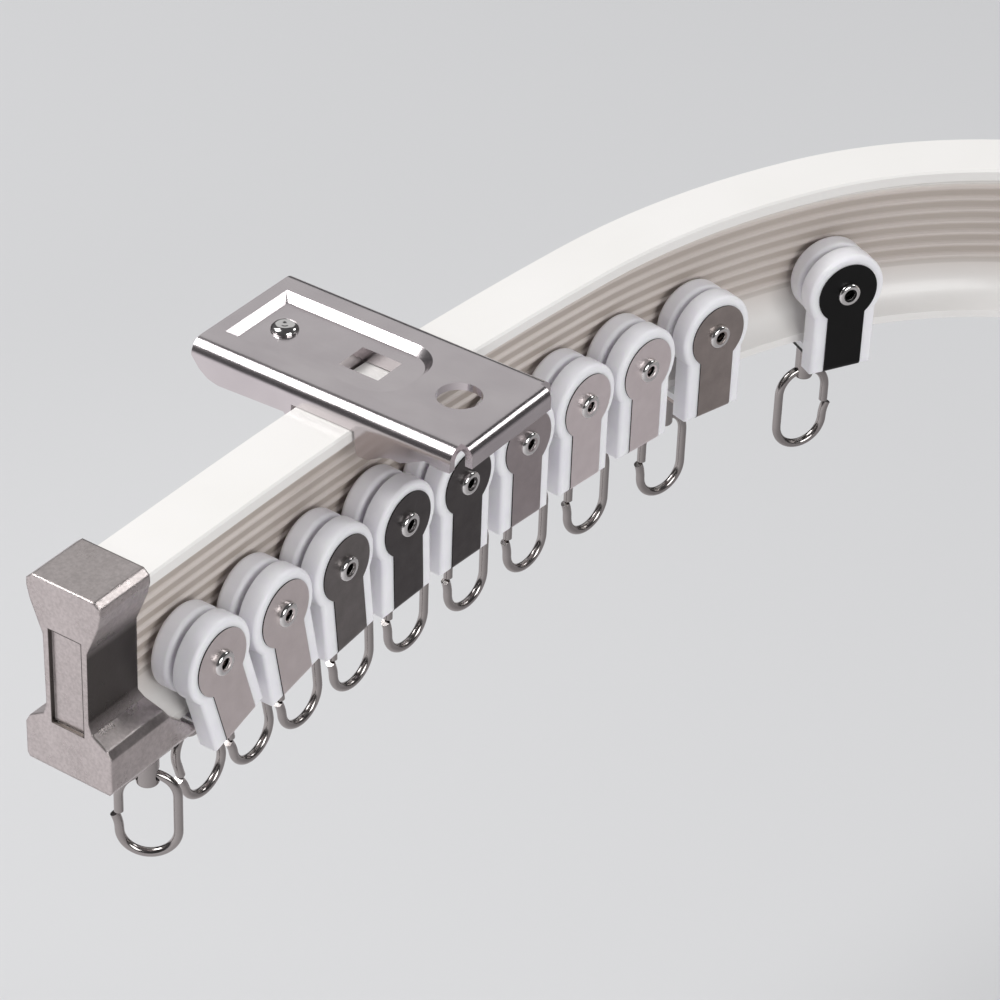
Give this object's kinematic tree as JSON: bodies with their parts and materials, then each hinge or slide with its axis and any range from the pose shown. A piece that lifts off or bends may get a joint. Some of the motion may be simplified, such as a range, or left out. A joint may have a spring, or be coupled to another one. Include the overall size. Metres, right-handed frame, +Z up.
{
  "type": "curtain track",
  "caption": "Bendable I-section curtain track curving round a corner, with a ceiling bracket, end caps, and roller gliders that carry swivelling split rings for curtain hooks.",
  "frame": {"origin": "middle of the ceiling bracket's top face, which lies against the ceiling", "axes": "+Z up to the ceiling, +X along the straight run towards the bend, +Y to the outside of the bend"},
  "size_m": [0.1677, 0.1139, 0.0477],
  "materials": {
    "rail_coat": "satin warm white coating",
    "cap_nickel": "satin nickel plated casting",
    "bracket_nickel": "bright nickel plated sheet",
    "rivet_steel": "polished",
    "nylon_white": "translucent milky white moulding",
    "strap_steel": "matt grey steel strip",
    "strap_black": "gloss black coated strip",
    "ring_wire": "polished wire"
  },
  "bodies": {
    "track": {"rail": "rail_coat", "end_cap": "cap_nickel", "far_end_cap": "cap_nickel", "bracket_plate": "bracket_nickel", "bracket_clamp": "bracket_nickel", "bracket_rivet": "rivet_steel"},
    "end_swivel": {"end_cap_swivel": "ring_wire"},
    "end_ring": {"end_cap_ring": "ring_wire"},
    "glider_1": {"glider_1_housing": "nylon_white", "glider_1_strap": "strap_steel"},
    "glider_1_wheel_inner": {"glider_1_wheel_inner": "nylon_white"},
    "glider_1_wheel_outer": {"glider_1_wheel_outer": "nylon_white"},
    "glider_1_ring": {"glider_1_ring": "ring_wire"},
    "glider_2": {"glider_2_housing": "nylon_white", "glider_2_strap": "strap_steel"},
    "glider_2_wheel_inner": {"glider_2_wheel_inner": "nylon_white"},
    "glider_2_wheel_outer": {"glider_2_wheel_outer": "nylon_white"},
    "glider_2_ring": {"glider_2_ring": "ring_wire"},
    "glider_3": {"glider_3_housing": "nylon_white", "glider_3_strap": "strap_steel"},
    "glider_3_wheel_inner": {"glider_3_wheel_inner": "nylon_white"},
    "glider_3_wheel_outer": {"glider_3_wheel_outer": "nylon_white"},
    "glider_3_ring": {"glider_3_ring": "ring_wire"},
    "glider_4": {"glider_4_housing": "nylon_white", "glider_4_strap": "strap_steel"},
    "glider_4_wheel_inner": {"glider_4_wheel_inner": "nylon_white"},
    "glider_4_wheel_outer": {"glider_4_wheel_outer": "nylon_white"},
    "glider_4_ring": {"glider_4_ring": "ring_wire"},
    "glider_5": {"glider_5_housing": "nylon_white", "glider_5_strap": "strap_steel"},
    "glider_5_wheel_inner": {"glider_5_wheel_inner": "nylon_white"},
    "glider_5_wheel_outer": {"glider_5_wheel_outer": "nylon_white"},
    "glider_5_ring": {"glider_5_ring": "ring_wire"},
    "glider_6": {"glider_6_housing": "nylon_white", "glider_6_strap": "strap_steel"},
    "glider_6_wheel_inner": {"glider_6_wheel_inner": "nylon_white"},
    "glider_6_wheel_outer": {"glider_6_wheel_outer": "nylon_white"},
    "glider_6_ring": {"glider_6_ring": "ring_wire"},
    "glider_7": {"glider_7_housing": "nylon_white", "glider_7_strap": "strap_steel"},
    "glider_7_wheel_inner": {"glider_7_wheel_inner": "nylon_white"},
    "glider_7_wheel_outer": {"glider_7_wheel_outer": "nylon_white"},
    "glider_7_ring": {"glider_7_ring": "ring_wire"},
    "glider_8": {"glider_8_housing": "nylon_white", "glider_8_strap": "strap_steel"},
    "glider_8_wheel_inner": {"glider_8_wheel_inner": "nylon_white"},
    "glider_8_wheel_outer": {"glider_8_wheel_outer": "nylon_white"},
    "glider_8_ring": {"glider_8_ring": "ring_wire"},
    "glider_9": {"glider_9_housing": "nylon_white", "glider_9_strap": "strap_steel"},
    "glider_9_wheel_inner": {"glider_9_wheel_inner": "nylon_white"},
    "glider_9_wheel_outer": {"glider_9_wheel_outer": "nylon_white"},
    "glider_9_ring": {"glider_9_ring": "ring_wire"},
    "glider_10": {"glider_10_housing": "nylon_white", "glider_10_strap": "strap_black"},
    "glider_10_wheel_inner": {"glider_10_wheel_inner": "nylon_white"},
    "glider_10_wheel_outer": {"glider_10_wheel_outer": "nylon_white"},
    "glider_10_ring": {"glider_10_ring": "ring_wire"}
  },
  "joints": [
    {"name": "end_swivel_turn", "type": "hinge", "parent": "track", "child": "end_swivel", "pos_m": [-0.04265, 0.00035, -0.031], "axis": [0, 0, 1], "range_deg": [-98, 20]},
    {"name": "end_ring_swing", "type": "hinge", "parent": "end_swivel", "child": "end_ring", "pos_m": [-0.04265, 0.00035, -0.0352], "axis": [0.5621, -0.8271, 0], "range_deg": [-60, 6]},
    {"name": "glider_1_travel", "type": "slide", "parent": "track", "child": "glider_1", "axis": [1, 0, 0], "range_m": [-0.0002, 0.0004]},
    {"name": "glider_1_wheel_inner_spin", "type": "hinge", "parent": "glider_1", "child": "glider_1_wheel_inner", "pos_m": [-0.04015, 0.00035, -0.0163], "axis": [0, 1, 0], "continuous": true},
    {"name": "glider_1_wheel_outer_spin", "type": "hinge", "parent": "glider_1", "child": "glider_1_wheel_outer", "pos_m": [-0.04015, 0.00035, -0.0163], "axis": [0, 1, 0], "continuous": true},
    {"name": "glider_1_ring_swivel", "type": "hinge", "parent": "glider_1", "child": "glider_1_ring", "pos_m": [-0.03606, 0.00035, -0.02969], "axis": [-0.2924, 0, 0.9563], "continuous": true},
    {"name": "glider_2_travel", "type": "slide", "parent": "track", "child": "glider_2", "axis": [1, 0, 0], "range_m": [-0.0004, 0.0003]},
    {"name": "glider_2_wheel_inner_spin", "type": "hinge", "parent": "glider_2", "child": "glider_2_wheel_inner", "pos_m": [-0.0286, 0.00035, -0.0163], "axis": [0, 1, 0], "continuous": true},
    {"name": "glider_2_wheel_outer_spin", "type": "hinge", "parent": "glider_2", "child": "glider_2_wheel_outer", "pos_m": [-0.0286, 0.00035, -0.0163], "axis": [0, 1, 0], "continuous": true},
    {"name": "glider_2_ring_swivel", "type": "hinge", "parent": "glider_2", "child": "glider_2_ring", "pos_m": [-0.02581, 0.00035, -0.03002], "axis": [-0.1994, 0, 0.9799], "continuous": true},
    {"name": "glider_3_travel", "type": "slide", "parent": "track", "child": "glider_3", "axis": [0.9999, -0.017, 0], "range_m": [-0.0003, 0.0004]},
    {"name": "glider_3_wheel_inner_spin", "type": "hinge", "parent": "glider_3", "child": "glider_3_wheel_inner", "pos_m": [-0.01705, 0.00027, -0.0163], "axis": [0.017, 0.9999, 0], "continuous": true},
    {"name": "glider_3_wheel_outer_spin", "type": "hinge", "parent": "glider_3", "child": "glider_3_wheel_outer", "pos_m": [-0.01705, 0.00027, -0.0163], "axis": [0.017, 0.9999, 0], "continuous": true},
    {"name": "glider_3_ring_swivel", "type": "hinge", "parent": "glider_3", "child": "glider_3_ring", "pos_m": [-0.01547, 0.00025, -0.03021], "axis": [-0.1132, 0.0019, 0.9936], "continuous": true},
    {"name": "glider_4_travel", "type": "slide", "parent": "track", "child": "glider_4", "axis": [0.9992, -0.0393, 0], "range_m": [-0.0004, 0.00035]},
    {"name": "glider_4_wheel_inner_spin", "type": "hinge", "parent": "glider_4", "child": "glider_4_wheel_inner", "pos_m": [-0.00536, -0.00006, -0.0163], "axis": [0.0393, 0.9992, 0], "continuous": true},
    {"name": "glider_4_wheel_outer_spin", "type": "hinge", "parent": "glider_4", "child": "glider_4_wheel_outer", "pos_m": [-0.00536, -0.00006, -0.0163], "axis": [0.0393, 0.9992, 0], "continuous": true},
    {"name": "glider_4_ring_swivel", "type": "hinge", "parent": "glider_4", "child": "glider_4_ring", "pos_m": [-0.00475, -0.00008, -0.03029], "axis": [-0.0436, 0.0017, 0.999], "continuous": true},
    {"name": "glider_5_travel", "type": "slide", "parent": "track", "child": "glider_5", "axis": [0.9981, -0.0615, 0], "range_m": [-0.00035, 0.0003]},
    {"name": "glider_5_wheel_inner_spin", "type": "hinge", "parent": "glider_5", "child": "glider_5_wheel_inner", "pos_m": [0.00628, -0.00064, -0.0163], "axis": [0.0615, 0.9981, 0], "continuous": true},
    {"name": "glider_5_wheel_outer_spin", "type": "hinge", "parent": "glider_5", "child": "glider_5_wheel_outer", "pos_m": [0.00628, -0.00064, -0.0163], "axis": [0.0615, 0.9981, 0], "continuous": true},
    {"name": "glider_5_ring_swivel", "type": "hinge", "parent": "glider_5", "child": "glider_5_ring", "pos_m": [0.00628, -0.00064, -0.0303], "axis": [0, 0, 1], "continuous": true},
    {"name": "glider_6_travel", "type": "slide", "parent": "track", "child": "glider_6", "axis": [0.9965, -0.0835, 0], "range_m": [-0.0003, 0.00025]},
    {"name": "glider_6_wheel_inner_spin", "type": "hinge", "parent": "glider_6", "child": "glider_6_wheel_inner", "pos_m": [0.01785, -0.00148, -0.0163], "axis": [0.0835, 0.9965, 0], "continuous": true},
    {"name": "glider_6_wheel_outer_spin", "type": "hinge", "parent": "glider_6", "child": "glider_6_wheel_outer", "pos_m": [0.01785, -0.00148, -0.0163], "axis": [0.0835, 0.9965, 0], "continuous": true},
    {"name": "glider_6_ring_swivel", "type": "hinge", "parent": "glider_6", "child": "glider_6_ring", "pos_m": [0.01785, -0.00148, -0.0303], "axis": [0, 0, 1], "continuous": true},
    {"name": "glider_7_travel", "type": "slide", "parent": "track", "child": "glider_7", "axis": [0.9944, -0.1054, 0], "range_m": [-0.00025, 0.00035]},
    {"name": "glider_7_wheel_inner_spin", "type": "hinge", "parent": "glider_7", "child": "glider_7_wheel_inner", "pos_m": [0.02935, -0.00258, -0.0163], "axis": [0.1054, 0.9944, 0], "continuous": true},
    {"name": "glider_7_wheel_outer_spin", "type": "hinge", "parent": "glider_7", "child": "glider_7_wheel_outer", "pos_m": [0.02935, -0.00258, -0.0163], "axis": [0.1054, 0.9944, 0], "continuous": true},
    {"name": "glider_7_ring_swivel", "type": "hinge", "parent": "glider_7", "child": "glider_7_ring", "pos_m": [0.02935, -0.00258, -0.0303], "axis": [0, 0, 1], "continuous": true},
    {"name": "glider_8_travel", "type": "slide", "parent": "track", "child": "glider_8", "axis": [0.9888, -0.1492, 0], "range_m": [-0.00035, 0.0014]},
    {"name": "glider_8_wheel_inner_spin", "type": "hinge", "parent": "glider_8", "child": "glider_8_wheel_inner", "pos_m": [0.04111, -0.00399, -0.0163], "axis": [0.1492, 0.9888, 0], "continuous": true},
    {"name": "glider_8_wheel_outer_spin", "type": "hinge", "parent": "glider_8", "child": "glider_8_wheel_outer", "pos_m": [0.04111, -0.00399, -0.0163], "axis": [0.1492, 0.9888, 0], "continuous": true},
    {"name": "glider_8_ring_swivel", "type": "hinge", "parent": "glider_8", "child": "glider_8_ring", "pos_m": [0.04111, -0.00399, -0.0303], "axis": [0, 0, 1], "continuous": true},
    {"name": "glider_9_travel", "type": "hinge", "parent": "track", "child": "glider_9", "pos_m": [0.0252, -0.10949, 0], "axis": [0, 0, -1], "range_deg": [-0.75, 4.99]},
    {"name": "glider_9_wheel_inner_spin", "type": "hinge", "parent": "glider_9", "child": "glider_9_wheel_inner", "pos_m": [0.05444, -0.00688, -0.0163], "axis": [0.2741, 0.9617, 0], "continuous": true},
    {"name": "glider_9_wheel_outer_spin", "type": "hinge", "parent": "glider_9", "child": "glider_9_wheel_outer", "pos_m": [0.05444, -0.00688, -0.0163], "axis": [0.2741, 0.9617, 0], "continuous": true},
    {"name": "glider_9_ring_swivel", "type": "hinge", "parent": "glider_9", "child": "glider_9_ring", "pos_m": [0.05444, -0.00688, -0.0303], "axis": [0, 0, 1], "continuous": true},
    {"name": "glider_10_travel", "type": "hinge", "parent": "track", "child": "glider_10", "pos_m": [0.047, -0.06651, 0], "axis": [0, 0, -1], "range_deg": [-7, 55]},
    {"name": "glider_10_wheel_inner_spin", "type": "hinge", "parent": "glider_10", "child": "glider_10_wheel_inner", "pos_m": [0.07553, -0.01544, -0.0163], "axis": [0.4876, 0.8731, 0], "continuous": true},
    {"name": "glider_10_wheel_outer_spin", "type": "hinge", "parent": "glider_10", "child": "glider_10_wheel_outer", "pos_m": [0.07553, -0.01544, -0.0163], "axis": [0.4876, 0.8731, 0], "continuous": true},
    {"name": "glider_10_ring_swivel", "type": "hinge", "parent": "glider_10", "child": "glider_10_ring", "pos_m": [0.07553, -0.01544, -0.0303], "axis": [0, 0, 1], "continuous": true}
  ]
}
